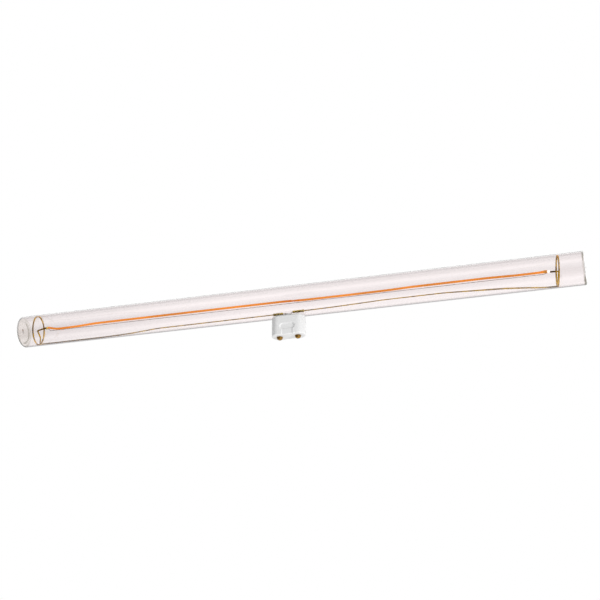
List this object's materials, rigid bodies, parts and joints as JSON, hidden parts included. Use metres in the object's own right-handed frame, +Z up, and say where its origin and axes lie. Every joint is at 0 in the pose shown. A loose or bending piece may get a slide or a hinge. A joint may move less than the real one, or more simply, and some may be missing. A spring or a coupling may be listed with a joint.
{
  "type": "linear filament lamp",
  "caption": "Clear glass tube lamp with one long amber filament held by wire spring rings, on a white centre base with two brass contacts.",
  "frame": {"origin": "centre of the base's bottom face, between the two contact studs", "axes": "+X along the glass tube, +Z up from the base to the tube, -Z the way the base pushes into its holder"},
  "size_m": [0.5, 0.028, 0.0487],
  "materials": {
    "clear_glass": "clear, flame polished",
    "stem_glass": "clear, pressed",
    "lead_wire": "drawn wire",
    "sleeve_metal": "crimped tube",
    "support_wire": "drawn wire",
    "filament_phosphor": "satin silicone",
    "tab_metal": "stamped strip",
    "carrier_steel": "drawn wire",
    "base_white": "moulded, satin",
    "cement_white": "cured paste",
    "contact_brass": "turned and riveted",
    "tinned_pin": "tinned",
    "board_green": "solder mask",
    "chip_black": "moulded",
    "fuse_lacquer": "lacquered",
    "capacitor_body": "fired ceramic"
  },
  "bodies": {
    "root": {"glass_envelope": "clear_glass", "glass_stem": "stem_glass", "lead_in_left": "lead_wire", "lead_in_right": "lead_wire", "crimp_sleeve_left": "sleeve_metal", "crimp_sleeve_right": "sleeve_metal", "support_wire_left": "support_wire", "support_wire_right": "support_wire", "led_filament": "filament_phosphor", "filament_tab_left": "tab_metal", "filament_tab_right": "tab_metal", "filament_carrier": "carrier_steel", "base_shell": "base_white", "base_cement": "cement_white", "contact_stud_left": "contact_brass", "contact_stud_right": "contact_brass", "supply_pin_left": "tinned_pin", "supply_pin_right": "tinned_pin", "driver_board": "board_green", "bridge_rectifier": "chip_black", "current_regulator": "chip_black", "fuse_resistor": "fuse_lacquer", "capacitor": "capacitor_body"}
  },
  "joints": []
}
